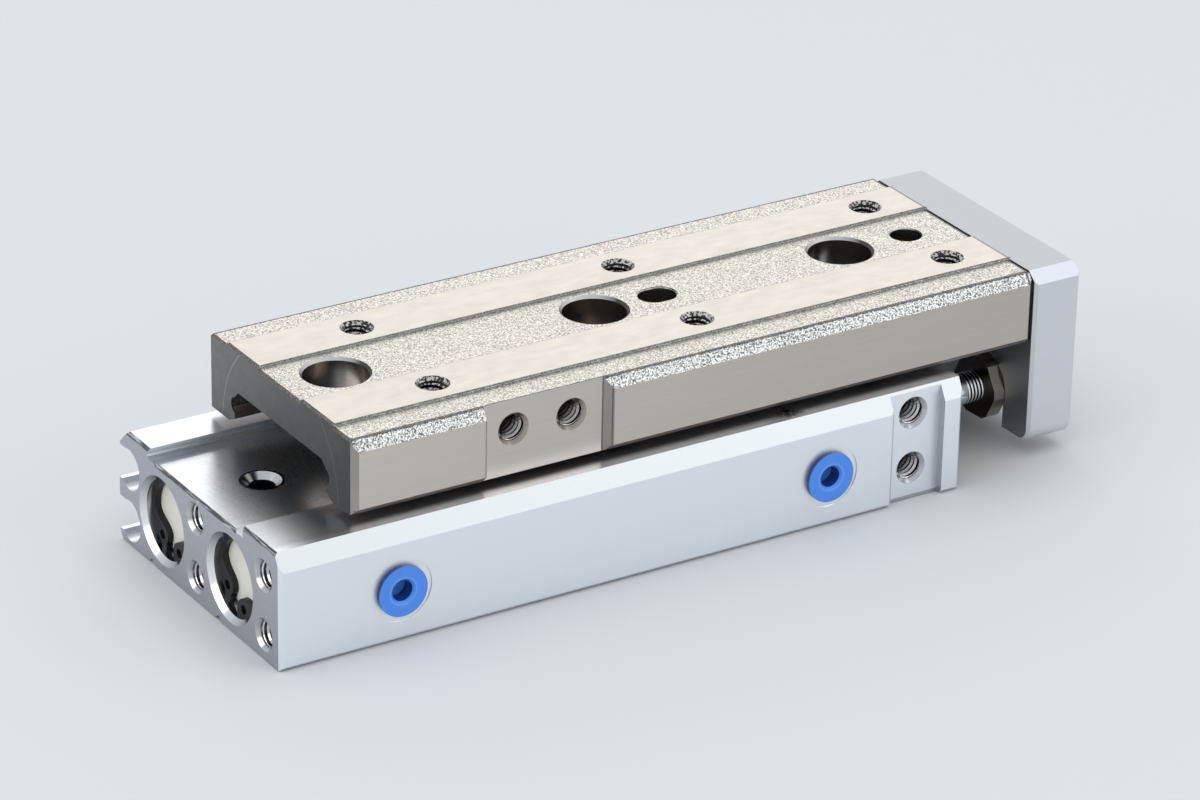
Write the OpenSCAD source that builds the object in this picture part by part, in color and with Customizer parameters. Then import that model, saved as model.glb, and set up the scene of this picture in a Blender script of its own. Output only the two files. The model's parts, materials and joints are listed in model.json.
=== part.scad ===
// Twin-rod pneumatic slide table with a recirculating ball guide.
//
// The table and its end plate travel along +X, driven by two parallel pistons.
// Frame: X is the stroke, Y runs across the body, Z is up. The origin is on the
// body's rear end face, on the plane midway between the two bores, at the underside.
// All lengths are in millimetres.

/* [Stroke] */
// Full travel of the table
stroke = 40; // [20:5:60]
// How far the table stands open in the modelled pose
open_rest = 10; // [0:1:20]

/* [Body] */
// Body length that is not stroke
body_base = 56; // [54:1:60]
// Centre plane to the flat near side
near_w = 20.7; // [20:0.1:22]
// Centre plane to the grooved far side
far_w = 19.3; // [19:0.1:20.5]
// Height of the two long shoulders
shoulder_h = 15; // [14.5:0.1:15.3]
// Height of the platform under the guide
platform_h = 13.75; // [13.4:0.05:14]
// Half the width of the platform
platform_half = 9.6; // [9:0.1:10]
// Centre plane to the inner edge of each shoulder
shoulder_in = 11.7; // [11.4:0.1:12]
// Drop of the channel's floor beside the platform
relief = 0.1; // [0.05:0.05:0.3]
// Height of the bevel along the near shoulder
bevel_h = 2.3; // [1:0.1:3]
// Width of the bevel along the near shoulder
bevel_w = 1.3; // [0.5:0.1:2]
// Edge break along the underside
edge_break = 0.5; // [0.2:0.1:0.8]

/* [Cylinder bores] */
// Distance between the two bore axes
bore_pitch = 17; // [16.8:0.1:17.4]
// Height of the bore axes above the underside
bore_z = 6.75; // [6.5:0.05:7]
// Piston bore diameter
bore_d = 8; // [7.6:0.1:8.2]
// Diameter of the rear mouth that takes the head cap
mouth_d = 10.1; // [9.8:0.1:10.4]
// Depth of the rear mouth
mouth_l = 9; // [8:0.1:9.5]
// Chamfer on the rear mouth
mouth_chamfer = 0.65; // [0.2:0.05:0.8]
// Diameter of the front seat that takes the rod cover
seat_d = 9.2; // [9:0.1:9.6]

/* [Switch grooves] */
// Radius of the round switch grooves
groove_r = 2.68; // [2.4:0.02:2.8]
// Centre plane to the centre of each groove
groove_y = 16.75; // [16.6:0.05:17]
// Height of the lower groove's centre
groove_low = 3.25; // [3.1:0.05:3.4]
// Height of the upper groove's centre
groove_high = 10.15; // [10:0.05:10.3]
// Mouth of a groove below its centre
lip_low = 1.95; // [1.7:0.05:2.1]
// Mouth of a groove above its centre
lip_high = 2.5; // [2.2:0.05:2.6]

/* [Air ports] */
// Rear end face to the rear port
port_rear = 16.1; // [15.8:0.1:16.3]
// Front end face to the front port
port_front = 19.8; // [19.4:0.1:20.2]
// Height of the ports
port_z = 6.65; // [6.4:0.05:6.9]
// Diameter of the port thread
port_d = 4.2; // [4:0.1:4.4]
// Diameter of the unthreaded entry
entry_d = 5.1; // [4.9:0.1:5.4]
// Depth of the unthreaded entry
entry_l = 2.2; // [2:0.1:2.6]
// Depth of a port to the end of its thread
port_l = 6.2; // [5.6:0.1:6.5]
// Diameter of the spot face around a port
spot_d = 8.2; // [7:0.1:9]
// Depth of the spot face around a port
port_spot = 0.1; // [0.05:0.05:0.2]

/* [Screw holes] */
// Tapping diameter of the M4 holes
tap_d = 3.3; // [3.2:0.05:3.5]
// Diameter across an M4 hole's chamfer
tap_mouth = 4.2; // [3.8:0.1:4.6]
// Depth of the M4 holes in the rear end
end_hole_l = 6; // [4:0.5:6.5]
// Centre plane to the outer pair of rear holes
end_hole_y = 16.75; // [16.4:0.05:17]
// Height of the lower pair of rear holes
end_hole_z = 3.2; // [3:0.1:3.4]
// Height between the two pairs of rear holes
end_hole_rise = 7.7; // [7.4:0.1:7.9]
// Rear face to the first body mounting hole
mount_x = 9; // [8.6:0.1:9.4]
// Spacing of the body mounting holes
mount_pitch = 36; // [35:0.5:36.5]
// Diameter across a body mounting hole's chamfer
mount_mouth = 4.8; // [4.2:0.1:5.4]

/* [Side face for brackets] */
// Front end face to the far edge of the milled face
mill_end = 2.8; // [2:0.1:4]
// Length of the milled face
mill_l = 7.6; // [7:0.1:9]
// Depth of the milled face
mill_depth = 1.1; // [0.6:0.1:1.4]
// Height of the lower bracket hole
bracket_z = 4.2; // [3.8:0.1:4.6]
// Height between the two bracket holes
bracket_rise = 7.5; // [7:0.1:7.8]
// Depth of the bracket holes
bracket_l = 5; // [4:0.5:5]

/* [Table] */
// Rear end of the table when closed
table_home = 1.4; // [0.5:0.1:3]
// Length of the table beyond the body's own
table_over = 0.5; // [0:0.1:1.5]
// Half the width of the table
table_half = 17.7; // [17.4:0.1:18]
// Height of the table's outer strips
strip_z = 25.5; // [25.2:0.1:26]
// Rise of the two ground pads over the strips
pad_rise = 0.4; // [0.2:0.05:0.6]
// Centre plane to the inner edge of a pad
pad_in = 5.3; // [5:0.1:6]
// Centre plane to the outer edge of a pad
pad_out = 12.8; // [12:0.1:13.4]
// Height of the underside of the table's legs
leg_z = 15.8; // [15.6:0.1:16.2]
// Half the width between the legs
leg_in = 11.1; // [11:0.05:11.2]
// Height of the underside of the table's web
web_z = 20.3; // [20.2:0.1:20.8]
// Width of the bevel along the table's top edges
top_bevel_w = 0.95; // [0.5:0.05:1.4]
// Height of the bevel along the table's top edges
top_bevel_h = 1.45; // [0.8:0.05:2]
// Bevel on the upright edges of the table's rear end
rear_bevel = 0.75; // [0.3:0.05:1]
// Bevel on the upright edges of the table's front end
front_bevel = 0.35; // [0.2:0.05:0.5]
// Edge break across the top of both ends
table_break = 0.3; // [0.15:0.05:0.35]

/* [Table holes] */
// Rear end of the table to the first screwdriver hole
access_x = 7.6; // [7.2:0.1:8]
// Diameter of the screwdriver holes
access_d = 8; // [7:0.1:8.4]
// Rear end of the table to the first row of M4 holes
row_x = 15.6; // [15:0.1:16.2]
// Spacing of the rows of M4 holes
row_pitch = 37; // [36:0.5:37.5]
// Half the distance between the two lines of M4 holes
row_y = 9; // [8.6:0.1:9.4]
// Depth of the M4 holes in the table
row_l = 5; // [4:0.1:5.2]
// Diameter of the dowel hole and width of the dowel slot
dowel_d = 4; // [3.6:0.1:4.2]
// Length of the dowel slot
dowel_slot_l = 5; // [4.6:0.1:6]
// Depth of the dowel hole and slot
dowel_l = 3.5; // [3:0.1:4]
// Rear end of the table to the side pocket
pocket_x = 17.9; // [17:0.1:19]
// Length of the side pocket's floor
pocket_l = 16.45; // [15.5:0.05:17.5]
// Depth of the side pocket
pocket_depth = 1; // [0.6:0.1:1.2]
// Side pocket's edge to its first hole
pocket_hole_x = 4.2; // [3.8:0.1:4.6]
// Spacing of the side pocket's holes
pocket_pitch = 8; // [7.6:0.1:8.4]
// Height of the side pocket's holes
pocket_hole_z = 21.6; // [21.2:0.1:22]

/* [End plate] */
// Thickness of the end plate
plate_t = 6.85; // [6.5:0.05:8]
// Half the width of the end plate
plate_half = 18; // [17.8:0.1:18.4]
// Underside of the end plate
plate_z0 = 1.9; // [1.5:0.1:2.5]
// Top of the end plate
plate_z1 = 25.3; // [25:0.1:25.6]
// Width of the bevel along the end plate's top
plate_bevel_w = 1.7; // [1:0.1:2.2]
// Height of the bevel along the end plate's top
plate_bevel_h = 1.4; // [0.8:0.1:2]
// Radius of the end plate's lower corners
plate_corner = 2; // [1:0.1:3]
// Edge break on the end plate
plate_break = 0.4; // [0.2:0.1:0.6]
// Gap between the table's end and the plate, around the plate's land
plate_gap = 0.35; // [0.2:0.05:0.5]
// Width of each rod slot
slot_w = 7.2; // [7:0.1:7.6]
// Thickness of the web behind each rod slot
slot_web = 3.2; // [2.8:0.1:3.4]
// Width of the seat for the rod nut behind each slot
seat_w = 8.8; // [8.7:0.1:9.2]
// Width of the nut pocket in front of each slot
pocket_w = 9.2; // [9:0.1:10]
// Centre plane to each end plate screw
plate_screw_y = 14.4; // [14.2:0.1:14.5]
// Height of the end plate screws
plate_screw_z = 20; // [19.6:0.1:20.4]

/* [Ball guide] */
// Radius of a ball
ball_r = 1; // [0.9:0.02:1]
// Gap between a ball and its track
ball_gap = 0.05; // [0.03:0.01:0.08]
// Centre plane to the loaded rows of balls
track_y = 10.95; // [10.9:0.01:11]
// Height of the loaded rows of balls
track_z = 18.35; // [18.2:0.05:18.5]
// Centre plane to the returning rows of balls
return_y = 6.95; // [6.6:0.05:7.1]
// Height of the returning rows of balls
return_z = 17; // [16.8:0.1:17.2]
// Half the width of the guide block
block_half = 10.6; // [10.5:0.02:10.7]
// Height of the guide block's top
block_z1 = 19.9; // [19.6:0.1:20]
// Thickness of a return cover
cover_t = 4; // [3.8:0.1:4.4]
// Thickness of an end seal
seal_t = 1; // [0.8:0.1:1.2]

/* [Pistons and rods] */
// Rear face of the piston when closed
piston_home = 18.3; // [18:0.1:18.8]
// Length of the piston
piston_l = 16; // [15:0.1:16.2]
// Radial gap between piston and bore
piston_gap = 0.08; // [0.05:0.01:0.12]
// Piston rod diameter
rod_d = 4; // [3.6:0.1:4.2]
// Rod stud and thread diameter
stud_d = 3; // [2.8:0.1:3.1]
// Thickness of a bumper
bumper_t = 2.5; // [2:0.1:2.6]
// Diameter of a bumper
bumper_d = 6.4; // [6:0.1:6.6]

/* [Hidden] */
$fn = 64;
eps = 0.01;
over = 1;
body_l = body_base + stroke;
table_l = body_l + table_over;
table_x = table_home + open_rest;
table_end = table_x + table_l;
plate_x = table_end + plate_gap;
plate_end = plate_x + plate_t;
bore_y = bore_pitch / 2;
bore_r = bore_d / 2;
mouth_r = mouth_d / 2;
seat_r = seat_d / 2;
tap_r = tap_d / 2;
rod_r = rod_d / 2;
stud_r = stud_d / 2;
bumper_r = bumper_d / 2;
port_xs = [port_rear, body_l - port_front];
mount_xs = [mount_x, mount_x + mount_pitch, mount_x + 2 * mount_pitch];
access_xs = [for (i = [0:2]) table_x + access_x + i * mount_pitch];
row_xs = [for (i = [0:2]) table_x + row_x + i * row_pitch];
end_holes = [for (y = [-end_hole_y, 0], dz = [0, end_hole_rise]) [y, end_hole_z + dz]];
mill_x1 = body_l - mill_end;
mill_x0 = mill_x1 - mill_l;
mill_y = -near_w + mill_depth;
bracket_x = mill_x1 - mill_l * 0.53;
pad_z = strip_z + pad_rise;

// Rear end: retaining ring, then head cap, then bumper
ring_x = 1.5;
ring_t = 0.8;
ring_slot = 0.85;
ring_bite = 0.35;
ring_rim = 0.9;
lug_r = 1.35;
lug_hole_r = 0.6;
cap_gap = 0.05;
cap_x = ring_x + ring_t;
cap_nose_x = mouth_l + 3;
oring_r = 0.5;
stub_r = 1.2;

// Pistons, at the modelled pose
piston_x = piston_home + open_rest;
piston_end = piston_x + piston_l;
piston_r = bore_r - piston_gap;
cushion_r = 2.5;
cushion_x = cap_nose_x + bumper_t + 0.1 + open_rest;
magnet_x = piston_x + 2.7;
magnet_l = 3.5;
magnet_in = 2.9;
piston_seal_x = piston_x + 9.7;
piston_seal_l = 2.6;
piston_seal_in = 2.7;
spigot_l = 8;

// Front end: bumper, rod cover with seal and O-ring, retaining ring
stop_x = piston_home + piston_l + stroke + 0.2;
cover_nose_x = stop_x + bumper_t;
seat_x = cover_nose_x + 2;
rod_cover_l = 13.4;
rod_cover_end = seat_x + rod_cover_l;
front_ring_t = 0.7;
rod_gap = 0.03;
rod_seal_l = 3;
rod_seal_r = 3.35;

// Ball guide: it stays under the table over the whole stroke
guide_x0 = table_home + stroke + 8.1;
guide_x1 = table_home + table_l - 6.4;
block_x0 = guide_x0 + seal_t + cover_t;
block_x1 = guide_x1 - seal_t - cover_t;
track_r = ball_r + ball_gap;
tunnel_r = track_r + 0.05;
turn_r = norm([track_y - return_y, track_z - return_z]) / 2;
turn_tilt = atan2(track_z - return_z, track_y - return_y);
driver_r = 3.25;
guide_screw_xs = [block_x0 + 5, block_x0 + 15.5];
guide_screw_z = block_z1 - 3.2;
guide_screw_l = 8;
guide_head_r = 2.7;
guide_head_l = 2.4;
guide_shank_r = 1.45;
cover_screw_y = 3.2;
cover_screw_z = 16.8;
cover_screw_bite = 2.6;
cover_shank_r = 0.75;
row_n = floor((block_x1 - block_x0) / (2 * ball_r + 0.1));

// Rod ends in the end plate
rod_nut_t = 1.95;
rod_nut_af = 8;
bush_x = plate_x + 0.35;
rod_nut_x = bush_x - rod_nut_t;
bush_l = slot_web - 0.3;
bush_r = slot_w / 2 - 0.3;
washer_r = pocket_w / 2 - 0.5;
washer_t = 0.6;
end_nut_t = 2.4;
end_nut_af = 5.5;
washer_x = bush_x + bush_l;
end_nut_x = washer_x + washer_t;

// End plate screws
screw_r = 1.5;
screw_head_r = 2.75;
screw_head_l = 3;
screw_seat = 3.3;
screw_bite = 8;

// Which sub-part to draw, or "all"

// ---------- helpers ----------

// A 2D profile, drawn as (y, z), pushed along X
module along_x(x0, x1) {
    translate([x0, 0, 0])
        rotate([90, 0, 90])
            linear_extrude(x1 - x0)
                children();
}

// A 2D profile, drawn as (x, z), pushed along Y
module along_y(y0, y1) {
    translate([0, y1, 0])
        rotate([90, 0, 0])
            linear_extrude(y1 - y0)
                children();
}

// A round bar or cone along X
module bar_x(x0, x1, r, y = 0, z = 0, r2 = -1) {
    translate([x0, y, z])
        rotate([0, 90, 0])
            cylinder(h = x1 - x0, r1 = r, r2 = r2 < 0 ? r : r2);
}

// A round bar or cone along -Y, from the plane y0 inwards by l
module bar_y(y0, l, r, x, z, r2 = -1) {
    translate([x, y0, z])
        rotate([-90, 0, 0])
            cylinder(h = l, r1 = r, r2 = r2 < 0 ? r : r2);
}

// A round bar or cone along Z
module bar_z(z0, z1, r, x, y = 0, r2 = -1) {
    translate([x, y, z0])
        cylinder(h = z1 - z0, r1 = r, r2 = r2 < 0 ? r : r2);
}

// A ring around the X axis
module ring_x(x0, x1, r_out, r_in, y = 0, z = 0) {
    difference() {
        bar_x(x0, x1, r_out, y, z);
        bar_x(x0 - over, x1 + over, r_in, y, z);
    }
}

// A torus around the X axis
module oring(x, r_mid, r_sec, y, z) {
    translate([x, y, z])
        rotate([0, 90, 0])
            rotate_extrude()
                translate([r_mid, 0])
                    circle(r_sec);
}

// A hex prism along X
module hex_x(x0, x1, af, y, z, turn = 0) {
    translate([x0, y, z])
        rotate([0, 90, 0])
            rotate([0, 0, turn])
                cylinder(h = x1 - x0, r = af / sqrt(3), $fn = 6);
}

// Both bores' positions
module both_bores() {
    for (s = [-1, 1])
        translate([0, s * bore_y, bore_z])
            children();
}

// A wedge of 45 degrees that bevels an edge running along Y, at (x, z)
module bevel_y(x, z, size, half) {
    translate([x, 0, z])
        rotate([0, 45, 0])
            cube([size * sqrt(2), 2 * half, size * sqrt(2)], center = true);
}

// A wedge of 45 degrees that bevels an upright edge, at (x, y)
module bevel_z(x, y, size, z1) {
    translate([x, y, z1 / 2])
        rotate([0, 0, 45])
            cube([size * sqrt(2), size * sqrt(2), z1 + 2 * over], center = true);
}

// ---------- body ----------

module body_outline() {
    hook_w = 2.3;
    hook_h = 2;
    foot = 0.5;
    polygon([
        [-near_w + edge_break, 0],
        [-near_w, edge_break],
        [-near_w, shoulder_h - bevel_h],
        [-near_w + bevel_w, shoulder_h],
        [far_w - hook_w, shoulder_h],
        [far_w - 0.25, shoulder_h - hook_h],
        [far_w - 0.25, groove_high],
        [far_w, groove_high - 1],
        [far_w, edge_break * 2],
        [far_w - foot, 0]
    ]);
}

// The wide channel between the shoulders: its walls are undercut, and its floor drops
// a little beside the platform
function channel_side() =
    let(under = 0.3, rib = 0.9, foot = 0.25)
    [
        [shoulder_in, shoulder_h + over],
        [shoulder_in, shoulder_h],
        [shoulder_in + under, platform_h + rib / 2],
        [shoulder_in, platform_h + rib / 3],
        [shoulder_in + under, platform_h - relief],
        [platform_half + foot, platform_h - relief],
        [platform_half, platform_h]
    ];

module channel_profile() {
    far = channel_side();
    near = [for (i = [len(far) - 1:-1:0]) [-far[i][0], far[i][1]]];
    polygon(concat(far, near));
}

// A round groove with a narrower mouth on the far side
module switch_groove(z) {
    translate([groove_y, z])
        circle(groove_r);
    translate([groove_y, z - lip_low])
        square([far_w, lip_low + lip_high]);
}

// A small V along the underside
module underside_notch(y) {
    half = 0.85;
    depth = 0.7;
    polygon([[y - half, -eps], [y, depth], [y + half, -eps]]);
}

module body_profile() {
    notch_near = -bore_y + 2.9;
    notch_far = bore_y + 2.7;
    difference() {
        body_outline();
        channel_profile();
        switch_groove(groove_low);
        switch_groove(groove_high);
        underside_notch(notch_near);
        underside_notch(notch_far);
    }
}

module bore_cut() {
    front_ring_x = rod_cover_end + eps * 5;
    bar_x(-over, body_l + over, bore_r);
    bar_x(-over, mouth_l, mouth_r);
    bar_x(0, mouth_chamfer, mouth_r + mouth_chamfer, r2 = mouth_r);
    bar_x(-over, 0, mouth_r + mouth_chamfer);
    bar_x(ring_x, ring_x + ring_slot, mouth_r + ring_bite);
    bar_x(seat_x, body_l + over, seat_r);
    bar_x(front_ring_x, front_ring_x + front_ring_t + 0.05, seat_r + ring_bite);
    bar_x(body_l - 0.4, body_l + eps, seat_r, r2 = seat_r + 0.41);
}

// Port: spot face, plain entry, thread, then a drilling on into both bores
module port_cut(x) {
    bar_y(-near_w - over, over + port_spot, spot_d / 2, x, port_z);
    bar_y(-near_w, entry_l, entry_d / 2, x, port_z);
    bar_y(-near_w, port_l, port_d / 2, x, port_z);
    bar_y(-near_w, near_w + bore_y, 1, x, port_z);
}

// A tapped hole with a chamfered mouth, cut along +X from x0
module tap_x(x0, y, z, l) {
    lead = (tap_mouth - tap_d) / 2;
    bar_x(x0 - over, x0 + l, tap_r, y, z);
    bar_x(x0 - eps, x0 + lead, tap_mouth / 2 + eps, y, z, r2 = tap_r);
}

// A tapped hole with a chamfered mouth, cut along +Y from y0
module tap_y(y0, x, z, l) {
    lead = (tap_mouth - tap_d) / 2;
    bar_y(y0 - over, l + over, tap_r, x, z);
    bar_y(y0 - eps, lead + eps, tap_mouth / 2 + eps, x, z, r2 = tap_r);
}

// A tapped hole with a chamfered mouth, cut down from z1
module tap_z(z1, x, y, l) {
    lead = (tap_mouth - tap_d) / 2;
    bar_z(z1 - l, z1 + over, tap_r, x, y);
    bar_z(z1 - lead, z1 + eps, tap_r, x, y, r2 = tap_mouth / 2 + eps);
}

module body() {
    lead = (mount_mouth - tap_d) / 2;
    screw_hole_r = 1.5;
    color("LightSteelBlue")
    difference() {
        along_x(0, body_l)
            body_profile();
        both_bores()
            bore_cut();
        for (x = port_xs)
            port_cut(x);
        for (h = end_holes)
            tap_x(0, h[0], h[1], end_hole_l);
        for (x = mount_xs) {
            bar_z(-over, shoulder_h, tap_r, x);
            bar_z(platform_h - lead, platform_h + eps, tap_r, x, r2 = mount_mouth / 2 + eps);
        }
        for (x = guide_screw_xs)
            bar_z(platform_h - guide_screw_l - 0.6, shoulder_h, screw_hole_r, x);
        // milled face for a bracket, with its two holes
        translate([mill_x0, -near_w - over, -over])
            cube([mill_l, mill_depth + over, shoulder_h + 2 * over]);
        for (dz = [0, bracket_rise])
            tap_y(mill_y, bracket_x, bracket_z + dz, bracket_l);
        // small breaks on the rear end's edges
        bevel_z(0, -near_w, edge_break, shoulder_h);
        bevel_z(body_l, -near_w, edge_break, shoulder_h);
        bevel_y(0, shoulder_h, 0.4, near_w + over);
        translate([0, 0, platform_h])
            rotate([0, 45, 0])
                cube([0.5, 2 * platform_half + 1.2, 0.5], center = true);
    }
}

module port_plug(x) {
    flange_r = 3.25;
    flange_t = 0.6;
    shank_r = entry_d / 2 - 0.05;
    shank_l = entry_l - port_spot - 0.15;
    hole_r = 1.35;
    funnel = 0.3;
    y0 = -near_w + port_spot - flange_t;
    color("CornflowerBlue")
    difference() {
        union() {
            bar_y(y0, flange_t, flange_r, x, port_z);
            bar_y(y0, flange_t + shank_l, shank_r, x, port_z);
        }
        bar_y(y0 - over, over + flange_t + shank_l - 0.5, hole_r, x, port_z);
        bar_y(y0 - eps, funnel + eps, hole_r + funnel + eps, x, port_z, r2 = hole_r);
    }
}

module port_plug_rear() port_plug(port_xs[0]);
module port_plug_front() port_plug(port_xs[1]);

// ---------- rear ends of the bores ----------

module head_cap(s) {
    groove_x0 = 4.6;
    groove_l = 1.6;
    color("Ivory")
    translate([0, s * bore_y, bore_z])
    difference() {
        union() {
            bar_x(cap_x, mouth_l, mouth_r - cap_gap);
            bar_x(mouth_l - eps, cap_nose_x, bore_r - cap_gap);
            bar_x(cap_nose_x - eps, cap_nose_x + bumper_t - 0.8, stub_r);
        }
        ring_x(groove_x0, groove_x0 + groove_l, mouth_r + over, mouth_r - 2 * oring_r - 0.02);
    }
}

module head_cap_near() head_cap(-1);
module head_cap_far() head_cap(1);

module head_cap_orings() {
    color("Black")
    for (s = [-1, 1])
        oring(5.4, mouth_r - oring_r, oring_r, s * bore_y, bore_z);
}

// The fillet between a lug and the ring's rim: its inner edge swings from the lug's
// depth out to the rim
function lug_flank(s, spread, rim_r, deep_r) = [
    for (i = [0:12])
        let(a = s * (spread + 6 + i * 4), mid = (rim_r + deep_r) / 2 + 0.05,
            r = mid - (rim_r - deep_r) / 2 * cos(15 * i))
        [r * sin(a), -r * cos(a)],
    for (i = [12:-1:0])
        let(a = s * (spread + 6 + i * 4))
        [(rim_r + 0.3) * sin(a), -(rim_r + 0.3) * cos(a)]
];

// An internal retaining ring with two plier holes
module snap_ring(x0, t, r, turn) {
    lug_at = r - 1.15;
    spread = 30;
    rim_r = r - ring_rim;
    color("DimGray")
    translate([x0, 0, 0])
        rotate([90, 0, 90])
            linear_extrude(t)
                rotate([0, 0, turn])
                    difference() {
                        union() {
                            difference() {
                                circle(r - 0.05);
                                circle(rim_r);
                            }
                            for (s = [-1, 1])
                                polygon(lug_flank(s, spread, rim_r, lug_at - lug_r));
                            intersection() {
                                circle(r - 0.05);
                                for (a = [-spread, spread])
                                    rotate([0, 0, a])
                                        translate([0, -lug_at])
                                            circle(lug_r);
                            }
                        }
                        polygon([[0, 0], [-1.15, -r - 1], [1.15, -r - 1]]);
                        for (a = [-spread, spread])
                            rotate([0, 0, a])
                                translate([0, -lug_at])
                                    circle(lug_hole_r);
                    }
}

module retaining_rings() {
    turns = [22, 10];
    for (i = [0, 1])
        translate([0, (2 * i - 1) * bore_y, bore_z])
            snap_ring(ring_x, ring_t, mouth_r + ring_bite, turns[i]);
}

module rear_bumpers() {
    color("SaddleBrown")
    both_bores()
        ring_x(cap_nose_x, cap_nose_x + bumper_t, bumper_r, stub_r);
}

// ---------- front ends of the bores ----------

module rod_cover(s) {
    groove_x0 = seat_x + 3;
    groove_l = 1.6;
    color("Gainsboro")
    translate([0, s * bore_y, bore_z])
    difference() {
        union() {
            bar_x(seat_x, rod_cover_end, seat_r - cap_gap);
            bar_x(cover_nose_x, seat_x + eps, bumper_r);
        }
        bar_x(cover_nose_x - over, rod_cover_end + over, rod_r + rod_gap);
        bar_x(rod_cover_end - rod_seal_l - 0.6, rod_cover_end + over, rod_seal_r + 0.02);
        ring_x(groove_x0, groove_x0 + groove_l, seat_r + over, seat_r - 2 * oring_r - 0.02);
    }
}

module rod_cover_near() rod_cover(-1);
module rod_cover_far() rod_cover(1);

module rod_cover_orings() {
    color("Black")
    for (s = [-1, 1])
        oring(seat_x + 3.8, seat_r - oring_r, oring_r, s * bore_y, bore_z);
}

module rod_seals() {
    x0 = rod_cover_end - rod_seal_l - 0.4;
    color("DarkSlateGray")
    both_bores()
        ring_x(x0, x0 + rod_seal_l, rod_seal_r, rod_r + 0.02);
}

module rod_bumpers() {
    color("SaddleBrown")
    both_bores()
        ring_x(stop_x, cover_nose_x, bumper_r, rod_r + 0.15);
}

module rod_cover_rings() {
    front_ring_x = rod_cover_end + eps * 5;
    both_bores()
        snap_ring(front_ring_x, front_ring_t, seat_r + ring_bite, 0);
}

// ---------- ball guide ----------

module block_profile(half, z0, z1) {
    c = 0.6;
    polygon([
        [-half, z0], [-half, z1 - c], [-half + c, z1],
        [half - c, z1], [half, z1 - c], [half, z0]
    ]);
}

module guide_block() {
    color("SlateGray")
    difference() {
        along_x(block_x0, block_x1)
            block_profile(block_half, platform_h, block_z1);
        for (s = [-1, 1]) {
            bar_x(block_x0 - over, block_x1 + over, track_r, s * track_y, track_z);
            bar_x(block_x0 - over, block_x1 + over, tunnel_r, s * return_y, return_z);
            for (x = [block_x0 - over, block_x1 - cover_screw_bite - 0.2])
                bar_x(x, x + cover_screw_bite + 0.2 + over, cover_shank_r + 0.05,
                      s * cover_screw_y, cover_screw_z);
        }
        for (x = guide_screw_xs) {
            bar_z(platform_h - over, block_z1 + over, 1.6, x);
            bar_z(guide_screw_z, block_z1 + over, guide_head_r + 0.2, x);
        }
        bar_z(platform_h - over, block_z1 + over, driver_r, mount_xs[2]);
    }
}

// Low-head socket screws that hold the guide block down
module guide_screws() {
    color("DimGray")
    for (x = guide_screw_xs)
        difference() {
            union() {
                bar_z(platform_h - guide_screw_l, guide_screw_z + eps, guide_shank_r, x);
                bar_z(guide_screw_z, guide_screw_z + guide_head_l, guide_head_r, x);
            }
            translate([x, 0, guide_screw_z + 1])
                cylinder(h = 2, r = 2.5 / sqrt(3), $fn = 6);
        }
}

// Half a turn that carries the balls from a loaded row to its return tunnel
module turn_path(r) {
    mid_y = (track_y + return_y) / 2;
    mid_z = (track_z + return_z) / 2;
    translate([0, mid_y, mid_z])
        rotate([turn_tilt, 0, 0])
            rotate([0, 0, 90])
                rotate_extrude(angle = 180)
                    translate([turn_r, 0])
                        circle(r);
}

// Return cover, drawn for the rear end
module return_cover() {
    half = block_half - 0.05;
    color("DarkSeaGreen")
    difference() {
        along_x(block_x0 - cover_t, block_x0)
            block_profile(half, platform_h + 0.1, block_z1 - 0.1);
        translate([block_x0, 0, 0])
            for (s = [0, 1])
                mirror([0, s, 0])
                    turn_path(tunnel_r);
        for (s = [-1, 1])
            bar_x(block_x0 - cover_t - over, block_x0 + over, 0.85, s * cover_screw_y,
                  cover_screw_z);
    }
}

// Moves a piece drawn for the rear end of the guide to its front end
module to_front() {
    translate([block_x0 + block_x1, 0, 0])
        mirror([1, 0, 0])
            children();
}

module return_cover_rear() return_cover();
module return_cover_front() to_front() return_cover();

// Wiper plate with an ear in each track
module end_seal() {
    half = leg_in - 0.3;
    color("DarkOliveGreen")
    difference() {
        union() {
            along_x(guide_x0, guide_x0 + seal_t)
                block_profile(half, platform_h + 0.35, block_z1 + 0.1);
            for (s = [-1, 1])
                bar_x(guide_x0, guide_x0 + seal_t, ball_r - 0.25, s * track_y, track_z);
        }
        for (s = [-1, 1])
            bar_x(guide_x0 - over, guide_x0 + seal_t + over, 0.85, s * cover_screw_y,
                  cover_screw_z);
    }
}

module end_seal_rear() end_seal();
module end_seal_front() to_front() end_seal();

module cover_screw(y) {
    head_t = 0.9;
    difference() {
        union() {
            bar_x(guide_x0 - head_t, guide_x0, 1.6, y, cover_screw_z);
            bar_x(guide_x0 - eps, block_x0 + cover_screw_bite, cover_shank_r, y, cover_screw_z);
        }
        hex_x(guide_x0 - head_t - over, guide_x0 - head_t / 2, 1.3, y, cover_screw_z);
    }
}

module cover_screws() {
    color("DimGray")
    for (y = [-cover_screw_y, cover_screw_y]) {
        cover_screw(y);
        to_front()
            cover_screw(y);
    }
}

// One closed loop of balls, drawn for the far side
module ball_loop() {
    pitch = (block_x1 - block_x0) / row_n;
    mid_y = (track_y + return_y) / 2;
    mid_z = (track_z + return_z) / 2;
    for (i = [0:row_n - 1])
        for (row = [[track_y, track_z], [return_y, return_z]])
            translate([block_x0 + (i + 0.5) * pitch, row[0], row[1]])
                sphere(ball_r);
    for (a = [30, 90, 150])
        for (end = [0, 1])
            translate([end == 0 ? block_x0 : block_x1, mid_y, mid_z])
                rotate([turn_tilt, 0, 0])
                    translate([(2 * end - 1) * turn_r * sin(a), turn_r * cos(a), 0])
                        sphere(ball_r);
}

module guide_balls() {
    color("Silver")
    for (s = [0, 1])
        mirror([0, s, 0])
            ball_loop();
}

// ---------- table ----------

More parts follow.
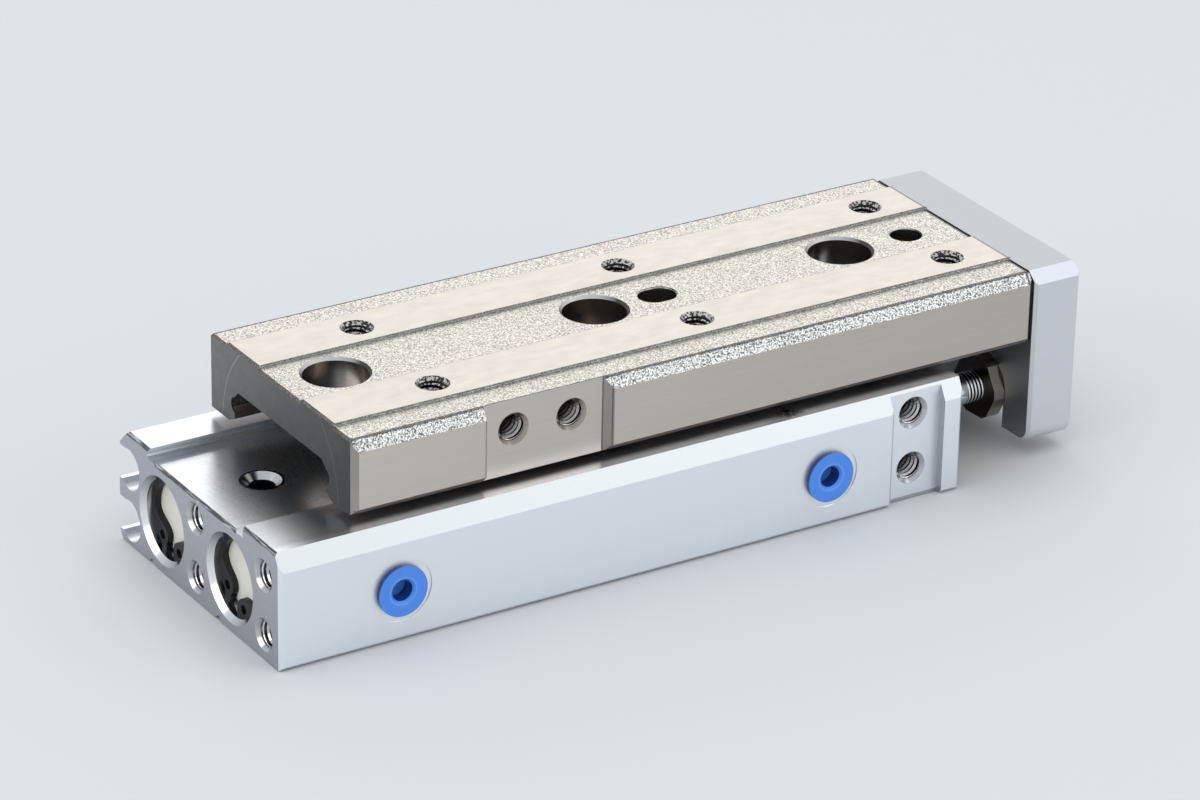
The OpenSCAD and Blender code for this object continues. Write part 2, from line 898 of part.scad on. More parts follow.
// Outline of the table's far half, from the underside of the web to its top
function table_side() =
    let(fillet = 0.9, foot_w = 1.5, foot_rise = 0.7, outer_break = 0.9, step = 0.15)
    [
        [leg_in - fillet, web_z],
        [leg_in, web_z - fillet],
        [leg_in, leg_z + foot_rise],
        [leg_in + foot_w, leg_z],
        [table_half - outer_break, leg_z],
        [table_half, leg_z + outer_break],
        [table_half, strip_z - top_bevel_h],
        [table_half - top_bevel_w, strip_z],
        [pad_out + step, strip_z],
        [pad_out, pad_z],
        [pad_in, pad_z],
        [pad_in - step, strip_z]
    ];

module table_profile() {
    far = table_side();
    near = [for (i = [len(far) - 1:-1:0]) [-far[i][0], far[i][1]]];
    difference() {
        polygon(concat(far, near));
        for (s = [-1, 1])
            translate([s * track_y, track_z])
                circle(track_r);
    }
}

// Round-ended slot, cut down from z1
module dowel_slot(x, z1, l, r, depth) {
    reach = l / 2 - r;
    for (s = [-1, 1])
        bar_z(z1 - depth, z1 + over, r, x + s * reach);
    translate([x - reach, -r, z1 - depth])
        cube([2 * reach, 2 * r, depth + over]);
}

module side_pocket() {
    y_in = -table_half + pocket_depth;
    x0 = table_x + pocket_x;
    x1 = x0 + pocket_l;
    ramp = 1.15;
    translate([0, 0, leg_z - over])
        linear_extrude(pad_z - leg_z + 2 * over)
            polygon([
                [x0, -table_half - over],
                [x0, y_in],
                [x1, y_in],
                [x1 + ramp * (pocket_depth + over) / pocket_depth, -table_half - over]
            ]);
}

// Edge break across the table's top at x, on the strips and on the pads
module end_break(x) {
    step = 0.15;
    outer_l = table_half + over - pad_out - step;
    bevel_y(x, strip_z, table_break, pad_in - step);
    for (s = [-1, 1]) {
        translate([0, s * (pad_in + pad_out) / 2, 0])
            bevel_y(x, pad_z, table_break, (pad_out - pad_in) / 2 + eps);
        translate([0, s * (pad_out + step + outer_l / 2), 0])
            bevel_y(x, strip_z, table_break, outer_l / 2);
    }
}

module table() {
    lead = 0.35;
    dowel_r = dowel_d / 2;
    dowel_lead = 0.15;
    color("AntiqueWhite")
    difference() {
        along_x(table_x, table_end)
            table_profile();
        for (x = access_xs) {
            bar_z(web_z - over, pad_z + over, access_d / 2, x);
            bar_z(strip_z - lead, strip_z + eps, access_d / 2, x, r2 = access_d / 2 + lead);
        }
        for (x = row_xs, s = [-1, 1])
            tap_z(pad_z, x, s * row_y, row_l);
        dowel_slot(row_xs[1], strip_z, dowel_slot_l, dowel_r, dowel_l);
        dowel_slot(row_xs[1], strip_z, dowel_slot_l + 2 * dowel_lead, dowel_r + dowel_lead,
                   dowel_lead);
        bar_z(strip_z - dowel_l, strip_z + over, dowel_r, row_xs[2]);
        bar_z(strip_z - dowel_lead, strip_z + eps, dowel_r, row_xs[2],
              r2 = dowel_r + dowel_lead);
        side_pocket();
        for (i = [0, 1])
            tap_y(-table_half + pocket_depth, table_x + pocket_x + pocket_hole_x
                  + i * pocket_pitch, pocket_hole_z, 4.5);
        for (s = [-1, 1])
            bar_x(table_end - screw_bite - 0.5, table_end + over, screw_r + 0.05,
                  s * plate_screw_y, plate_screw_z);
        for (x = [table_x, table_end])
            end_break(x);
        for (s = [-1, 1]) {
            bevel_z(table_x, s * table_half, rear_bevel, pad_z);
            bevel_z(table_end, s * table_half, front_bevel, pad_z);
        }
    }
}

// ---------- end plate ----------

module plate_profile() {
    difference() {
        polygon([
            [-plate_half, plate_z0],
            [-plate_half, plate_z1 - plate_bevel_h],
            [-plate_half + plate_bevel_w, plate_z1],
            [plate_half - plate_bevel_w, plate_z1],
            [plate_half, plate_z1 - plate_bevel_h],
            [plate_half, plate_z0]
        ]);
        rod_slots(slot_w / 2);
        for (s = [0, 1])
            mirror([s, 0])
                translate([plate_half - plate_corner, plate_z0 + plate_corner])
                    corner_waste(plate_corner);
    }
}

// What a rounded lower corner takes off a square one
module corner_waste(r) {
    difference() {
        translate([0, -r - over])
            square(r + over);
        circle(r);
    }
}

// Slots that are round at the top and open at the bottom
module rod_slots(r) {
    for (s = [-1, 1]) {
        translate([s * bore_y, bore_z])
            circle(r);
        translate([s * bore_y - r, plate_z0 - over])
            square([2 * r, bore_z - plate_z0 + over]);
    }
}

// What an edge break takes off the plate around its rounded lower corner; face is
// 1 on the front face and -1 on the rear face
module corner_break(x, face) {
    y = plate_half - plate_corner;
    z = plate_z0 + plate_corner;
    tip = plate_corner - plate_break - over;
    inner = face > 0 ? x - plate_break - over : x + plate_break;
    intersection() {
        translate([x - over, y, z - plate_corner - over])
            cube([2 * over, plate_corner + over, plate_corner + over]);
        difference() {
            bar_x(x - over, x + over, plate_corner + over, y, z);
            if (face > 0)
                bar_x(x - plate_break, x + over, plate_corner, y, z, r2 = tip);
            else
                bar_x(x - over, x + plate_break, tip, y, z, r2 = plate_corner);
            bar_x(inner, inner + over, plate_corner + over, y, z);
        }
    }
}

module end_plate() {
    land_in = 1.4;
    color("LightGray")
    difference() {
        union() {
            along_x(plate_x, plate_end)
                plate_profile();
            translate([table_end, -plate_half + land_in, leg_z + 0.4])
                cube([plate_gap + over, 2 * (plate_half - land_in),
                      strip_z - top_bevel_h - leg_z]);
        }
        along_x(plate_x - over, bush_x)
            rod_slots(seat_w / 2);
        along_x(plate_x + slot_web, plate_end + over)
            rod_slots(pocket_w / 2);
        for (s = [-1, 1]) {
            bar_x(table_end - over, plate_end, screw_r + 0.15, s * plate_screw_y,
                  plate_screw_z);
            bar_x(plate_end - screw_seat, plate_end + over, screw_head_r + 0.15,
                  s * plate_screw_y, plate_screw_z);
        }
        for (face = [-1, 1]) {
            x = face > 0 ? plate_end : plate_x;
            bevel_y(x, plate_z0, plate_break, plate_half - plate_corner);
            for (s = [0, 1])
                mirror([0, s, 0]) {
                    corner_break(x, face);
                    translate([0, 0, plate_z0 + plate_corner + over])
                        bevel_z(x, plate_half, plate_break, plate_z1);
                }
        }
        bevel_y(plate_end, plate_z1, plate_break / 2, plate_half + over);
    }
}

module plate_screws() {
    seat = plate_end - screw_seat;
    color("DimGray")
    for (s = [-1, 1])
        difference() {
            union() {
                bar_x(seat, seat + screw_head_l, screw_head_r, s * plate_screw_y, plate_screw_z);
                bar_x(table_end - screw_bite, seat + eps, screw_r, s * plate_screw_y, plate_screw_z);
            }
            hex_x(seat + 1.4, seat + screw_head_l + over, 2.5, s * plate_screw_y, plate_screw_z);
        }
}

// ---------- pistons and rods ----------

module piston(s) {
    color("Silver")
    translate([0, s * bore_y, bore_z])
    difference() {
        union() {
            bar_x(piston_x, piston_end, piston_r);
            bar_x(cushion_x, piston_x + eps, cushion_r);
        }
        ring_x(magnet_x, magnet_x + magnet_l, bore_r + over, magnet_in);
        ring_x(piston_seal_x, piston_seal_x + piston_seal_l, bore_r + over, piston_seal_in);
        bar_x(piston_end - spigot_l, piston_end + over, stud_r);
    }
}

module piston_near() piston(-1);
module piston_far() piston(1);

module piston_magnets() {
    color("DarkGray")
    both_bores()
        ring_x(magnet_x + 0.05, magnet_x + magnet_l - 0.05, piston_r - 0.15, magnet_in);
}

module piston_seals() {
    color("Black")
    both_bores()
        ring_x(piston_seal_x + 0.1, piston_seal_x + piston_seal_l - 0.1, bore_r - 0.02,
               piston_seal_in);
}

module piston_rod(s) {
    color("WhiteSmoke")
    translate([0, s * bore_y, bore_z]) {
        bar_x(piston_end, rod_nut_x, rod_r);
        bar_x(piston_end - spigot_l + 0.1, piston_end + eps, stud_r - 0.02);
        bar_x(rod_nut_x - eps, end_nut_x + end_nut_t + 0.4, stud_r - 0.02);
    }
}

module piston_rod_near() piston_rod(-1);
module piston_rod_far() piston_rod(1);

// Thin hexagon nut whose corners are turned round
module rod_nut(s) {
    color("DarkGoldenrod")
    difference() {
        intersection() {
            hex_x(rod_nut_x, bush_x, rod_nut_af, s * bore_y, bore_z, 27.5);
            bar_x(rod_nut_x, bush_x, rod_nut_af / 2 + 0.3, s * bore_y, bore_z);
        }
        bar_x(rod_nut_x - over, bush_x + over, stud_r, s * bore_y, bore_z);
    }
}

module rod_nut_near() rod_nut(-1);
module rod_nut_far() rod_nut(1);

module float_bushing(s) {
    color("Gray")
    translate([0, s * bore_y, bore_z])
        ring_x(bush_x, bush_x + bush_l, bush_r, stud_r + 0.02);
}

module float_bushing_near() float_bushing(-1);
module float_bushing_far() float_bushing(1);

module rod_end_washers() {
    color("Silver")
    both_bores()
        ring_x(washer_x, washer_x + washer_t, washer_r, stud_r + 0.1);
}

module rod_end_nuts() {
    color("Silver")
    for (s = [-1, 1])
        difference() {
            hex_x(end_nut_x, end_nut_x + end_nut_t, end_nut_af, s * bore_y, bore_z);
            bar_x(end_nut_x - over, end_nut_x + end_nut_t + over, stud_r, s * bore_y, bore_z);
        }
}

// ---------- what is drawn ----------

body();
port_plug_rear();
port_plug_front();
head_cap_near();
head_cap_far();
head_cap_orings();
retaining_rings();
rear_bumpers();
rod_cover_near();
rod_cover_far();
rod_cover_orings();
rod_seals();
rod_bumpers();
rod_cover_rings();
guide_block();
guide_screws();
return_cover_rear();
return_cover_front();
end_seal_rear();
end_seal_front();
cover_screws();
guide_balls();
table();
end_plate();
plate_screws();
piston_rod_near();
piston_rod_far();
piston_near();
piston_far();
piston_magnets();
piston_seals();
rod_nut_near();
rod_nut_far();
float_bushing_near();
float_bushing_far();
rod_end_washers();
rod_end_nuts();
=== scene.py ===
"""Looks for the pneumatic slide table: finishes, screw threads, studio and camera."""
import json
import math

import bmesh
import bpy
import numpy as np
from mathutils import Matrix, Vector


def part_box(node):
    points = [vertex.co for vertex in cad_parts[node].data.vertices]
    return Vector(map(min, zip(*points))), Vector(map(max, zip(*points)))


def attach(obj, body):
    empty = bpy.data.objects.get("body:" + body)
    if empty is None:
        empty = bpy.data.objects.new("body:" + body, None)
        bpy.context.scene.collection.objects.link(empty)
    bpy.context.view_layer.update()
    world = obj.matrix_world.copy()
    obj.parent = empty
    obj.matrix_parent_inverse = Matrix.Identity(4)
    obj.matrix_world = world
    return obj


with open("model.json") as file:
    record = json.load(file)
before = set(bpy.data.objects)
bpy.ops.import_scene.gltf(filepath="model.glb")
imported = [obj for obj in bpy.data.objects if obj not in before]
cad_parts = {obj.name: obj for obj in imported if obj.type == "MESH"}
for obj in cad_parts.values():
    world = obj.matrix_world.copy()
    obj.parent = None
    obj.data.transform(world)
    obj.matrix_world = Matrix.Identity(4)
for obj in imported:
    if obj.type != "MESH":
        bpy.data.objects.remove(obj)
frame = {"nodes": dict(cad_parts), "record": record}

MM = 0.001
PER_METRE = 1000.0
NODES = frame["nodes"]
MOUNTS = {mount["name"]: mount for mount in frame["record"]["mounts"]}
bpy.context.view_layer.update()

# Holes and their threads, in millimetres. A ridge starts a little below the mouth.
TAP_R = MOUNTS["table_m4_rear"]["dims"]["hole_r_mm"]
M4_PITCH = 0.7
PORT_TAP_R = MOUNTS["air_port_rear"]["dims"]["r_mm"]
PORT_PITCH = 0.8
THREAD_START = 0.18


# ---------------------------------------------------------------- shader maths

class Wire:
    """One output socket of a finish. Sums written on wires add Math nodes."""

    def __init__(self, finish, socket):
        self.finish = finish
        self.socket = socket

    def apply(self, operation, *terms, clamp=False):
        return self.finish.math(operation, self, *terms, clamp=clamp)

    def __add__(self, other):
        return self.apply("ADD", other)

    def __radd__(self, other):
        return self.finish.math("ADD", other, self)

    def __sub__(self, other):
        return self.apply("SUBTRACT", other)

    def __rsub__(self, other):
        return self.finish.math("SUBTRACT", other, self)

    def __mul__(self, other):
        return self.apply("MULTIPLY", other)

    def __rmul__(self, other):
        return self.finish.math("MULTIPLY", other, self)

    def __truediv__(self, other):
        return self.apply("DIVIDE", other)

    def __rtruediv__(self, other):
        return self.finish.math("DIVIDE", other, self)

    def __neg__(self):
        return self.apply("MULTIPLY", -1.0)

    def __abs__(self):
        return self.apply("ABSOLUTE")

    def above(self, limit):
        """1 where the value is over limit, else 0."""
        return self.apply("GREATER_THAN", limit)

    def below(self, limit):
        """1 where the value is under limit, else 0."""
        return self.apply("LESS_THAN", limit)

    def sine(self):
        return self.apply("SINE")

    def root(self):
        return self.apply("SQRT")

    def clamped(self):
        return self.apply("ADD", 0.0, clamp=True)

    def ramp(self, low, high):
        """0 at low, 1 at high, straight between and clamped."""
        return ((self - low) / (high - low)).clamped()


class Finish:
    """A surface finish: one material whose Principled shader is fed by wires."""

    def __init__(self, name, **constants):
        self.material = bpy.data.materials.new(name)
        self.material.use_nodes = True
        self.tree = self.material.node_tree
        self.shader = self.tree.nodes["Principled BSDF"]
        for socket, value in constants.items():
            self.shader.inputs[socket.replace("_", " ")].default_value = value
        self.places = None

    def node(self, kind, settings=None, inputs=None):
        """Adds a node: its settings first, then the values or wires of its sockets."""
        made = self.tree.nodes.new(kind)
        for key, value in (settings or {}).items():
            setattr(made, key, value)
        for key, value in (inputs or {}).items():
            if isinstance(value, Wire):
                self.tree.links.new(value.socket, made.inputs[key])
            else:
                made.inputs[key].default_value = value
        return made

    def math(self, operation, *terms, clamp=False):
        made = self.node("ShaderNodeMath", {"operation": operation, "use_clamp": clamp},
                         dict(enumerate(terms)))
        return Wire(self, made.outputs[0])

    def source(self):
        """The finish's one Texture Coordinate node."""
        if self.places is None:
            self.places = self.node("ShaderNodeTexCoord")
        return self.places

    def split(self, output, scale):
        """Three wires of a Texture Coordinate output, multiplied by scale."""
        scaled = self.node("ShaderNodeVectorMath", {"operation": "SCALE"},
                           {0: Wire(self, self.source().outputs[output]), "Scale": scale})
        parts = self.node("ShaderNodeSeparateXYZ", None, {0: Wire(self, scaled.outputs[0])})
        return [Wire(self, parts.outputs[i]) for i in range(3)]

    def place(self):
        """x, y and z in millimetres."""
        return self.split("Object", PER_METRE)

    def facing(self):
        """The surface's normal."""
        return self.split("Normal", 1.0)

    def vector(self, x, y, z):
        made = self.node("ShaderNodeCombineXYZ", None, {0: x, 1: y, 2: z})
        return Wire(self, made.outputs[0])

    def noise(self, x, y, z, scale=1.0, detail=2.0, rough=0.5):
        """Cloudy noise, about 0.3 to 0.7, finer along a wire that is multiplied up."""
        made = self.node("ShaderNodeTexNoise", None,
                         {"Vector": self.vector(x, y, z), "Scale": scale,
                          "Detail": detail, "Roughness": rough})
        return Wire(self, made.outputs[0])

    def blend(self, a, b, factor):
        """Colour a where factor is 0, colour b where it is 1."""
        made = self.node("ShaderNodeMix", {"data_type": "RGBA"},
                         {0: factor, 6: rgba(a), 7: rgba(b)})
        return Wire(self, made.outputs[2])

    def shade(self, colour, amount):
        """The colour times the amount in all three channels."""
        made = self.node("ShaderNodeVectorMath", {"operation": "SCALE"},
                         {0: colour if isinstance(colour, Wire) else colour[:3],
                          "Scale": amount})
        return Wire(self, made.outputs[0])

    def feed(self, socket, wire):
        self.tree.links.new(wire.socket, self.shader.inputs[socket])

    def emboss(self, height, depth_mm, strength):
        """Bumps the surface: height 0 to 1 stands for depth_mm."""
        made = self.node("ShaderNodeBump", None,
                         {"Height": height, "Distance": depth_mm * MM, "Strength": strength})
        self.feed("Normal", Wire(self, made.outputs[0]))


def rgba(colour):
    """A colour as four numbers; wires pass through."""
    if isinstance(colour, Wire) or len(colour) == 4:
        return colour
    return (*colour, 1.0)


# ---------------------------------------------------------------- finishes

def spot(name):
    """A mount's place in millimetres."""
    return [v * PER_METRE for v in MOUNTS[name]["pos_m"]]


def spacing(name, axis):
    """A bolt pattern's spacing in millimetres, as its mount gives it."""
    return MOUNTS[name]["dims"][f"spacing_{axis}_mm"]


def from_pair(along, middle, apart):
    """Distance from the nearer of two places that stand apart around the middle."""
    return abs(along - middle) - apart / 2


def from_three(along, middle, pitch):
    """Distance from the nearest of three places a pitch apart around the middle."""
    return from_pair(abs(along - middle), pitch / 2, pitch)


def near_axes(a, b, radius):
    """1 within the radius of an axis, for two wires measured from it."""
    return (a * a + b * b).below(radius * radius)


def side_line(across, where, wobble, half=0.09):
    """1 on a thin scored line where the first wire equals the place, 0 beside it."""
    return 1.0 - abs(across - where + wobble).ramp(half - 0.05, half)


def anodised_extrusion():
    """Satin clear-anodised aluminium: grained sides, brushed top, milled end, bare holes;
    painted shade and highlights on its ends, edges and holes.
    """
    f = Finish("anodised_extrusion", Metallic=1.0)
    x, y, z = f.place()
    nx, ny, nz = f.facing()
    rear, bracket = spot("body_rear_m4"), spot("body_bracket_m4")
    rear_port, front_port = spot("air_port_rear"), spot("air_port_front")
    rear_screws, front_screws = spot("body_mounting_rear"), spot("body_mounting_front")
    bore_apart, bore_z, mouth_r = 17.0, 6.75, 5.9
    tap_mouth_r, port_mouth_r, screw_mouth_r = 2.15, 2.7, 2.75

    # Where each kind of surface is: 1 on it, 0 elsewhere.
    near_side = y.below(-10.0)
    top = nz.above(0.85)
    end = abs(nx).above(0.85)
    bores = near_axes(from_pair(y, 0.0, bore_apart), z - bore_z, mouth_r)
    taps = near_axes(from_pair(y, rear[1], spacing("body_rear_m4", "x")),
                     from_pair(z, rear[2], spacing("body_rear_m4", "y")), tap_mouth_r)
    taps = taps * x.below(9.0)
    sides = near_axes(x - bracket[0],
                      from_pair(z, bracket[2], spacing("body_bracket_m4", "y")), tap_mouth_r)
    sides = sides * near_side
    ports = near_axes(from_pair(x, (rear_port[0] + front_port[0]) / 2,
                                front_port[0] - rear_port[0]),
                      z - rear_port[2], port_mouth_r) * near_side
    drilled = near_axes(from_three(x, (rear_screws[0] + front_screws[0]) / 2,
                                   spacing("body_mounting_rear", "x")), y, screw_mouth_r)
    bare = ((bores + taps) * (1.0 - end) + sides + ports + drilled).clamped()
    end = end * (1.0 - bare)
    bevel = nz.above(0.25) * nz.below(0.85) * abs(nx).below(0.2) * abs(ny).above(0.4)
    # Painted shade: the rear face's top edge break, drawn nearly black in broken patches.
    shaded_arris = nx.below(-0.3) * nz.above(0.3) * x.below(1.0) * (1.0 - bare)
    # Painted shade along the near side's foot bevel, up to half a millimetre high.
    foot_shade = (1.0 - z.ramp(0.40, 0.50)) * ny.below(-0.8)
    # Painted shade: a thin dark line at the edge of the milled rebate on the near side.
    rebate_shade_line = side_line(x, bracket[0] - 3.68, 0.0, 0.13) * ny.below(-0.8) * y.below(-20.5)
    # Painted shade: how far into each hole, to darken its metal deeper in.
    depth = (taps * x.ramp(0.1, 1.6) + (sides + ports) * (y + 19.5).ramp(0.0, 1.5)
             + drilled * (13.2 - z).ramp(0.0, 5.0) + bores * x.ramp(1.0, 9.0)).clamped()

    # The grain of each surface.
    grain = f.noise(x, y, z, scale=9.0, detail=3.0, rough=0.7)
    drawn = f.noise(x * 0.04, y * 6.0, z * 6.0, detail=4.0, rough=0.65)
    crossed = f.noise(x * 5.0, y * 0.35, z, detail=4.0, rough=0.7)
    drawn = 0.45 * drawn + 0.55 * crossed
    milled = f.noise(x, y * 0.3, z * 7.0, detail=3.0, rough=0.6)

    # Its colours.
    satin = f.blend((0.855, 0.88, 0.915), (0.905, 0.93, 0.955), grain)
    brushed = f.blend((0.56, 0.58, 0.605), (0.79, 0.80, 0.82), drawn.ramp(0.3, 0.7))
    # Painted highlight: the top is drawn lighter on the outer strip of the near shoulder.
    brushed = f.shade(brushed, 1.0 + 0.28 * (-y).ramp(18.1, 18.8))
    # The milled end face: its darker tone is partly the milling and partly painted shade.
    cut = f.blend((0.41, 0.42, 0.45), (0.53, 0.54, 0.57), milled)
    colour = f.blend(f.blend(satin, brushed, top), cut, end)
    colour = f.blend(colour, f.blend((0.575, 0.60, 0.605), (0.715, 0.735, 0.735), grain), bevel)
    # Painted shade on the rear top edge break, the foot bevel and the line at the rebate's
    # edge.
    colour = f.shade(colour, 1.0 - 0.86 * shaded_arris * milled.ramp(0.3, 0.5) - 0.45 * foot_shade
                     - 0.34 * rebate_shade_line)

    # A dark smudge on the near shoulder, just behind the front port.
    blot = f.noise(x * 1.4, y, z, scale=1.1, detail=4.0, rough=0.75).ramp(0.44, 0.52)
    blot_x, blot_y = x - 72.0, y + 17.8
    blot = blot * (1.0 - (blot_x * blot_x / 5.0 + blot_y * blot_y / 3.0).clamped())
    colour = f.blend(colour, (0.05, 0.055, 0.06), blot * top)

    # The bare metal in its holes, darker deeper in as painted shade.
    turned = f.shade(f.blend((0.46, 0.47, 0.485), (0.66, 0.67, 0.68), drawn), 1.0 - 0.9 * depth)
    # Painted highlight and shade on the bore mouths' chamfers, lighter where they face up and
    # towards the near side.
    gleam = (0.9 * nz - 1.2 * ny).ramp(-0.1, 1.1)
    painted_lip_light = f.blend((0.20, 0.205, 0.215), (0.93, 0.94, 0.95), gleam)
    turned = f.blend(turned, painted_lip_light, bores * nx.below(-0.3))
    colour = f.blend(colour, turned, bare)
    f.feed("Base Color", colour)
    f.feed("Roughness", 0.42 - 0.14 * top - 0.04 * end - 0.22 * bare + 0.08 * (grain - 0.5))
    height = drawn * top + milled * end + grain * (1.0 - top) * (1.0 - end)
    f.emboss(height, 0.006, 0.5)
    return f.material


def plated_table():
    """Warm plated steel: speckled strips, ground pads, brushed sides; ends and underside
    painted dark as shade.
    """
    f = Finish("plated_table", Metallic=1.0)
    x, y, z = f.place()
    nx, ny, nz = f.facing()
    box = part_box("table")
    rear_x, front_x = (end_point.x * PER_METRE for end_point in box)
    level = box[1].z * PER_METRE
    slot, pocket = spot("table_dowel_slot"), spot("table_side_m4")
    row_pitch, row_apart = spacing("table_m4_rear", "x"), spacing("table_m4_rear", "y")
    access_x, access_pitch = 55.0, 36.0
    tap_mouth_r, access_mouth_r, dowel_mouth_r, side_mouth_r = 2.35, 4.9, 2.7, 2.2
    side_y = abs(y)

    # Where each kind of surface is: 1 on it, 0 elsewhere.
    flat = nz.above(0.9)
    pad = flat * z.above(level - 0.15)
    strip = nz.above(0.3) * (1.0 - pad) * z.above(level - 1.9)
    bevel = nz.above(0.3) * nz.below(0.9)
    end = abs(nx).above(0.9)
    shaded_corner = abs(nx).above(0.35) * abs(ny).above(0.35) * abs(nz).below(0.3)
    taps = near_axes(from_three(x, slot[0], row_pitch), from_pair(y, 0.0, row_apart),
                     tap_mouth_r)
    dowels = near_axes(from_pair(x, slot[0] + row_pitch / 2, row_pitch), y, dowel_mouth_r)
    wells = near_axes(from_three(x, access_x, access_pitch), y, access_mouth_r)
    wells = (wells + dowels).clamped()
    flank = near_axes(from_pair(x, pocket[0], spacing("table_side_m4", "x")),
                      z - pocket[2], side_mouth_r) * y.below(-12.0)
    flank = flank * (1.0 - abs(ny).above(0.9))
    open_top = flat * z.above(level - 0.6)
    bare = (taps + wells).clamped() * z.above(20.0) * (1.0 - open_top) + flank
    shell = 1.0 - bare
    shaded_inner = (y * ny).below(-3.0) * nz.below(0.5) * z.below(19.0)
    # Faces looking down, under the table, for painted shade.
    shaded_underside = nz.below(-0.5) * z.above(17.0)
    riser_highlight = abs(ny).above(0.8) * z.above(level - 0.46) * side_y.below(13.5)
    shaded_top_edge = abs(nx).above(0.5) * nz.above(0.5)
    depth = taps * (level - 0.2 - z).ramp(0.0, 1.2) + flank * (y + 16.6).ramp(0.0, 1.2)

    # The grain of each surface.
    specks = f.noise(x, y, z, scale=4.6, detail=4.0, rough=0.75)
    fine = f.noise(x, y, z, scale=9.0, detail=2.0, rough=0.6)
    ground = f.noise(x * 0.12, y * 5.0, z, detail=4.0, rough=0.6)
    cloud = f.noise(x * 0.3, y * 0.6, z, detail=5.0, rough=0.6)
    brushed = f.noise(x * 0.1, y, z * 7.0, detail=4.0, rough=0.65)
    glint = f.noise(x, y, z, scale=2.6, detail=2.0).ramp(0.47, 0.54)
    wobble = 0.10 * (f.noise(x, y, z, scale=2.4, detail=4.0, rough=0.7) - 0.5)

    # Its colours.
    warm = f.blend((0.42, 0.383, 0.336), (0.735, 0.667, 0.578), 0.35 * ground + 0.65 * cloud)
    sanded = f.blend((0.19, 0.174, 0.157), (0.985, 0.915, 0.825), specks.ramp(0.36, 0.58))
    rim = f.blend((0.11, 0.105, 0.10), (1.0, 0.985, 0.955), specks.ramp(0.43, 0.54))
    sanded = f.blend(sanded, rim, bevel * side_y.above(16.0))
    wall = f.blend((0.54, 0.485, 0.44), (0.64, 0.58, 0.53), brushed)
    # Painted light: the sides drawn lighter at the rear, darker towards the front.
    wall = f.shade(wall, 1.10 - 0.22 * x.ramp(10.0, 110.0))
    # Painted shade on the rounded vertical corners.
    wall = f.shade(wall, 1.0 - 0.42 * shaded_corner)
    # Painted shade on the legs' inner faces under the table, broken by specks.
    wall = f.shade(wall, 1.0 - shaded_inner * (0.86 - 0.5 * specks.ramp(0.4, 0.7)))
    # Painted shade: ends and underside drawn near black, lighter towards the far side and the
    # top, mottled by a cloud.
    shaded_end_colour = f.blend((0.081, 0.079, 0.077), (0.129, 0.126, 0.122), fine)
    shaded_end_colour = f.shade(shaded_end_colour, 1.0 + 1.1 * y.ramp(-16.0, 16.0))
    shaded_end_colour = f.shade(shaded_end_colour, 0.80 + 0.22 * z.ramp(15.0, 24.0) + 0.45 * (cloud - 0.42))
    # A faint turned ring on the end faces.
    ring_z, ring_r = 15.2, 14.15
    ring = abs((y * y + (z - ring_z) * (z - ring_z)).root() - ring_r).ramp(0.05, 0.14)
    shaded_end_colour = f.shade(shaded_end_colour, 1.6 - 0.6 * ring)
    colour = f.blend(wall, sanded, strip)
    colour = f.blend(colour, warm, pad)
    colour = f.blend(colour, shaded_end_colour, (end + shaded_underside).clamped())
    # Bare metal in the holes, darker deeper in as painted shade; painted glints on the tap
    # mouths and painted highlight and shade on the well lips.
    turned = f.shade(f.blend((0.27, 0.23, 0.195), (0.54, 0.475, 0.415), brushed),
                     1.0 - 0.85 * depth)
    painted_glints = f.blend((0.05, 0.045, 0.04), (0.62, 0.60, 0.57), glint)
    turned = f.blend(turned, painted_glints, taps * nz.above(0.3))
    painted_lip_light = f.blend((0.09, 0.08, 0.07), (0.66, 0.63, 0.60), (-ny).ramp(0.2, 0.6))
    painted_lip_places = (wells * nz.above(0.3) + dowels * z.above(level - 0.75)).clamped()
    turned = f.blend(turned, painted_lip_light, painted_lip_places)
    colour = f.blend(colour, turned, bare)
    # Painted highlight: the step risers drawn as bright as the lit pads.
    colour = f.blend(colour, (0.97, 0.93, 0.87), riser_highlight)

    # Painted shade: thin dark lines along the steps, the ends, the pocket and the foot, and on
    # the top end edges.
    inner_step, outer_step, rim_step = 5.27, 12.83, 16.68
    pocket_rear, pocket_front, pocket_stop = 29.2, 45.8, 46.72
    foot_z = 16.45
    lines = (side_line(side_y, inner_step, wobble) + side_line(side_y, outer_step, wobble)
             + side_line(side_y, rim_step, 3.0 * wobble, 0.22)) * nz.above(0.3)
    ends = (side_line(x, rear_x + 0.12, wobble, 0.12)
            + side_line(x, front_x - 0.42, 0.4 * wobble, 0.15))
    lines = lines + ends * nz.above(0.3)
    # Painted shade on the lower part of each riser.
    riser_shade = riser_highlight * (z + 3.0 * wobble).below(level - 0.24)
    flank_lines = (side_line(x, pocket_rear, 0.3 * wobble)
                   + side_line(x, pocket_front, 0.3 * wobble)
                   + side_line(x, pocket_stop, 0.3 * wobble)) * y.below(-15.0) * nz.below(0.3)
    foot_line = side_line(z, foot_z, 0.5 * wobble) * side_y.above(17.2)
    dark = (lines + riser_shade + 0.9 * flank_lines + 0.8 * foot_line + shaded_top_edge).clamped()
    dark = dark * shell * (0.55 + 0.45 * fine.ramp(0.35, 0.6))
    colour = f.blend(colour, (0.09, 0.08, 0.07), dark)
    f.feed("Base Color", colour)
    f.feed("Roughness", 0.40 + 0.12 * strip - 0.04 * pad + 0.08 * end * shell - 0.16 * bare
           + 0.10 * (fine - 0.5))
    height = ((specks * 1.6 + fine * 0.4) * strip + ground * 0.4 * pad) * shell * (1.0 - riser_highlight)
    f.emboss(height, 0.05, 0.55)
    return f.material


